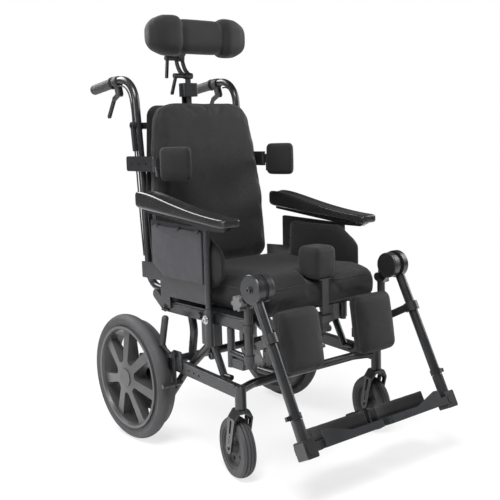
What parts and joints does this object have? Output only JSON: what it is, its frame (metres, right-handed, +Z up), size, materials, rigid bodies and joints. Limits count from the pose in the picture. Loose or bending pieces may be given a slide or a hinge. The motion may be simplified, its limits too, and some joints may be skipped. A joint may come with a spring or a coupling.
{
  "type": "tilt-in-space wheelchair",
  "caption": "Attendant-pushed tilt-in-space wheelchair with reclining padded back, headrest, side supports, pommel and swing-away elevating leg rests.",
  "frame": {"origin": "on the floor, under the middle of the chair's box", "axes": "+X to the sitter's left, -Y ahead, +Z up"},
  "size_m": [0.683, 1.1474, 1.338],
  "materials": {
    "tyre": "satin",
    "caster_tyre": "satin",
    "wheel_plastic": "satin",
    "upholstery": "matte",
    "moulded_pad": "satin",
    "grip_rubber": "matte",
    "black_plastic": "matte",
    "black_metal": "satin",
    "steel": "brushed",
    "frame_paint": "satin"
  },
  "bodies": {
    "base": {"base_side_frames": "frame_paint", "base_cross_tubes": "frame_paint", "tilt_columns": "frame_paint", "axle_plates": "frame_paint"},
    "seat": {"seat_frame": "frame_paint", "seat_cushion": "upholstery"},
    "gas_cylinder": {"gas_spring_cylinder": "black_metal"},
    "gas_rod": {"gas_spring_rod": "steel"},
    "pommel": {"pommel_bar": "black_metal", "pommel_pad": "upholstery"},
    "back": {"back_frame": "frame_paint", "push_grips": "grip_rubber", "back_shell": "black_plastic", "back_cushion": "upholstery", "brake_cables": "black_plastic"},
    "back_release_lever": {"back_release_lever": "black_plastic"},
    "headrest_slide": {"headrest_bar": "black_metal"},
    "headrest_arm": {"headrest_link": "black_metal"},
    "headrest_head": {"headrest_stem": "black_metal", "headrest_pads": "upholstery"},
    "headrest_lower_lever": {"headrest_lower_lever": "black_plastic"},
    "headrest_upper_lever": {"headrest_upper_lever": "black_plastic"},
    "right_rear_wheel": {"right_rear_tyre": "tyre", "right_rear_rim": "wheel_plastic"},
    "right_caster_fork": {"right_caster_fork": "frame_paint"},
    "right_caster_wheel": {"right_caster_wheel": "caster_tyre"},
    "right_lock_lever": {"right_wheel_lock_lever": "black_metal"},
    "right_lock_shoe": {"right_wheel_lock_shoe": "black_metal"},
    "right_arm": {"right_arm_frame": "frame_paint", "right_arm_pad": "moulded_pad", "right_hip_pad": "upholstery"},
    "right_leg_hanger": {"right_leg_hanger": "black_metal"},
    "right_star_knob": {"right_star_knob": "black_plastic"},
    "right_leg_tube": {"right_leg_tube": "frame_paint"},
    "right_foot_stem": {"right_foot_stem": "steel"},
    "right_foot_plate": {"right_foot_plate": "black_plastic"},
    "right_calf_support": {"right_calf_arm": "black_metal", "right_calf_pad": "upholstery"},
    "right_lateral": {"right_lateral_arm": "black_metal", "right_lateral_pad": "upholstery"},
    "right_brake_lever": {"right_brake_lever": "black_plastic"},
    "left_rear_wheel": {"left_rear_tyre": "tyre", "left_rear_rim": "wheel_plastic"},
    "left_caster_fork": {"left_caster_fork": "frame_paint"},
    "left_caster_wheel": {"left_caster_wheel": "caster_tyre"},
    "left_lock_lever": {"left_wheel_lock_lever": "black_metal"},
    "left_lock_shoe": {"left_wheel_lock_shoe": "black_metal"},
    "left_arm": {"left_arm_frame": "frame_paint", "left_arm_pad": "moulded_pad", "left_hip_pad": "upholstery"},
    "left_leg_hanger": {"left_leg_hanger": "black_metal"},
    "left_star_knob": {"left_star_knob": "black_plastic"},
    "left_leg_tube": {"left_leg_tube": "frame_paint"},
    "left_foot_stem": {"left_foot_stem": "steel"},
    "left_foot_plate": {"left_foot_plate": "black_plastic"},
    "left_calf_support": {"left_calf_arm": "black_metal", "left_calf_pad": "upholstery"},
    "left_lateral": {"left_lateral_arm": "black_metal", "left_lateral_pad": "upholstery"},
    "left_brake_lever": {"left_brake_lever": "black_plastic"}
  },
  "joints": [
    {"name": "seat_tilt", "type": "hinge", "parent": "base", "child": "seat", "pos_m": [0, -0.07566, 0.435], "axis": [-1, 0, 0], "range_deg": [0, 25]},
    {"name": "gas_cylinder_turn", "type": "hinge", "parent": "base", "child": "gas_cylinder", "pos_m": [0, -0.22766, 0.278], "axis": [-1, 0, 0], "range_deg": [0, 10.38]},
    {"name": "gas_rod_travel", "type": "slide", "parent": "gas_cylinder", "child": "gas_rod", "axis": [0, 0.915, 0.4033], "range_m": [-0.0451, 0]},
    {"name": "pommel_height", "type": "slide", "parent": "seat", "child": "pommel", "axis": [0, 0, 1], "range_m": [0, 0.04]},
    {"name": "back_recline", "type": "hinge", "parent": "seat", "child": "back", "pos_m": [0, 0.10034, 0.436], "axis": [-1, 0, 0], "range_deg": [0, 30]},
    {"name": "back_release_turn", "type": "hinge", "parent": "back", "child": "back_release_lever", "pos_m": [0, 0.29934, 0.992], "axis": [1, 0, 0], "range_deg": [0, 60]},
    {"name": "headrest_height", "type": "slide", "parent": "back", "child": "headrest_slide", "axis": [0, 0, 1], "range_m": [0, 0.07]},
    {"name": "headrest_arm_tilt", "type": "hinge", "parent": "headrest_slide", "child": "headrest_arm", "pos_m": [0, 0.30234, 1.152], "axis": [1, 0, 0], "range_deg": [-20, 20]},
    {"name": "headrest_pad_tilt", "type": "hinge", "parent": "headrest_arm", "child": "headrest_head", "pos_m": [0, 0.34834, 1.213], "axis": [1, 0, 0], "range_deg": [-25, 25]},
    {"name": "headrest_lower_lever_turn", "type": "hinge", "parent": "headrest_arm", "child": "headrest_lower_lever", "pos_m": [0, 0.30234, 1.152], "axis": [1, 0, 0], "range_deg": [0, 40]},
    {"name": "headrest_upper_lever_turn", "type": "hinge", "parent": "headrest_arm", "child": "headrest_upper_lever", "pos_m": [0, 0.34834, 1.213], "axis": [1, 0, 0], "range_deg": [0, 90]},
    {"name": "right_wheel_spin", "type": "hinge", "parent": "base", "child": "right_rear_wheel", "pos_m": [-0.3135, 0.23034, 0.2], "axis": [1, 0, 0], "continuous": true},
    {"name": "right_caster_swivel", "type": "hinge", "parent": "base", "child": "right_caster_fork", "pos_m": [-0.275, -0.27766, 0.206], "axis": [0, 0, 1], "continuous": true},
    {"name": "right_caster_spin", "type": "hinge", "parent": "right_caster_fork", "child": "right_caster_wheel", "pos_m": [-0.26825, -0.24843, 0.0875], "axis": [0.9744, -0.225, 0], "continuous": true},
    {"name": "right_lock_lever_turn", "type": "hinge", "parent": "base", "child": "right_lock_lever", "pos_m": [-0.2939, 0.01834, 0.306], "axis": [1, 0, 0], "range_deg": [0, 40]},
    {"name": "right_lock_shoe_turn", "type": "hinge", "parent": "base", "child": "right_lock_shoe", "pos_m": [-0.2939, 0.01834, 0.306], "axis": [1, 0, 0], "range_deg": [0, 3.6]},
    {"name": "right_arm_height", "type": "slide", "parent": "seat", "child": "right_arm", "axis": [0, 0, 1], "range_m": [-0.033, 0.03]},
    {"name": "right_leg_swing", "type": "hinge", "parent": "seat", "child": "right_leg_hanger", "pos_m": [-0.265, -0.30966, 0.5], "axis": [0, 0, -1], "range_deg": [0, 90]},
    {"name": "right_star_knob_turn", "type": "hinge", "parent": "right_leg_hanger", "child": "right_star_knob", "pos_m": [-0.2774, -0.29966, 0.507], "axis": [1, 0, 0], "continuous": true},
    {"name": "right_leg_elevation", "type": "hinge", "parent": "right_leg_hanger", "child": "right_leg_tube", "pos_m": [-0.281, -0.35466, 0.551], "axis": [-1, 0, 0], "range_deg": [0, 60]},
    {"name": "right_foot_height", "type": "slide", "parent": "right_leg_tube", "child": "right_foot_stem", "axis": [0, -0.4431, -0.8965], "range_m": [0, 0.06]},
    {"name": "right_foot_plate_flip", "type": "hinge", "parent": "right_foot_stem", "child": "right_foot_plate", "pos_m": [-0.247, -0.54518, 0.16551], "axis": [0, -0.8965, 0.4431], "range_deg": [0, 40]},
    {"name": "right_calf_swing", "type": "hinge", "parent": "right_leg_tube", "child": "right_calf_support", "pos_m": [-0.281, -0.41581, 0.42729], "axis": [0, -0.4431, -0.8965], "range_deg": [0, 60]},
    {"name": "right_lateral_swing", "type": "hinge", "parent": "back", "child": "right_lateral", "pos_m": [-0.2215, 0.18634, 0.846], "axis": [0, 0, -1], "range_deg": [0, 80]},
    {"name": "right_brake_lever_squeeze", "type": "hinge", "parent": "back", "child": "right_brake_lever", "pos_m": [-0.205, 0.40434, 1.098], "axis": [1, 0, 0], "range_deg": [0, 16], "stiffness_Nm_per_rad": 2, "springref_deg": -17.19},
    {"name": "left_wheel_spin", "type": "hinge", "parent": "base", "child": "left_rear_wheel", "pos_m": [0.3135, 0.23034, 0.2], "axis": [1, 0, 0], "continuous": true},
    {"name": "left_caster_swivel", "type": "hinge", "parent": "base", "child": "left_caster_fork", "pos_m": [0.275, -0.27766, 0.206], "axis": [0, 0, 1], "continuous": true},
    {"name": "left_caster_spin", "type": "hinge", "parent": "left_caster_fork", "child": "left_caster_wheel", "pos_m": [0.28175, -0.24843, 0.0875], "axis": [0.9744, -0.225, 0], "continuous": true},
    {"name": "left_lock_lever_turn", "type": "hinge", "parent": "base", "child": "left_lock_lever", "pos_m": [0.2939, 0.01834, 0.306], "axis": [1, 0, 0], "range_deg": [0, 40]},
    {"name": "left_lock_shoe_turn", "type": "hinge", "parent": "base", "child": "left_lock_shoe", "pos_m": [0.2939, 0.01834, 0.306], "axis": [1, 0, 0], "range_deg": [0, 3.6]},
    {"name": "left_arm_height", "type": "slide", "parent": "seat", "child": "left_arm", "axis": [0, 0, 1], "range_m": [0, 0.063]},
    {"name": "left_leg_swing", "type": "hinge", "parent": "seat", "child": "left_leg_hanger", "pos_m": [0.265, -0.30966, 0.5], "axis": [0, 0, 1], "range_deg": [0, 90]},
    {"name": "left_star_knob_turn", "type": "hinge", "parent": "left_leg_hanger", "child": "left_star_knob", "pos_m": [0.2774, -0.29966, 0.507], "axis": [1, 0, 0], "continuous": true},
    {"name": "left_leg_elevation", "type": "hinge", "parent": "left_leg_hanger", "child": "left_leg_tube", "pos_m": [0.281, -0.35466, 0.551], "axis": [-1, 0, 0], "range_deg": [0, 60]},
    {"name": "left_foot_height", "type": "slide", "parent": "left_leg_tube", "child": "left_foot_stem", "axis": [0, -0.4431, -0.8965], "range_m": [0, 0.06]},
    {"name": "left_foot_plate_flip", "type": "hinge", "parent": "left_foot_stem", "child": "left_foot_plate", "pos_m": [0.247, -0.54518, 0.16551], "axis": [0, 0.8965, -0.4431], "range_deg": [0, 40]},
    {"name": "left_calf_swing", "type": "hinge", "parent": "left_leg_tube", "child": "left_calf_support", "pos_m": [0.281, -0.41581, 0.42729], "axis": [0, 0.4431, 0.8965], "range_deg": [0, 60]},
    {"name": "left_lateral_swing", "type": "hinge", "parent": "back", "child": "left_lateral", "pos_m": [0.2215, 0.18634, 0.846], "axis": [0, 0, 1], "range_deg": [0, 80]},
    {"name": "left_brake_lever_squeeze", "type": "hinge", "parent": "back", "child": "left_brake_lever", "pos_m": [0.205, 0.40434, 1.098], "axis": [1, 0, 0], "range_deg": [0, 16], "stiffness_Nm_per_rad": 2, "springref_deg": -17.19}
  ],
  "couplings": [
    {"joint": "gas_cylinder_turn", "follows": "seat_tilt", "ratio": 0.37538},
    {"joint": "gas_rod_travel", "follows": "seat_tilt", "m_per_rad": -0.098771},
    {"joint": "right_lock_shoe_turn", "follows": "right_lock_lever_turn", "ratio": 0.08},
    {"joint": "left_lock_shoe_turn", "follows": "left_lock_lever_turn", "ratio": 0.08}
  ]
}
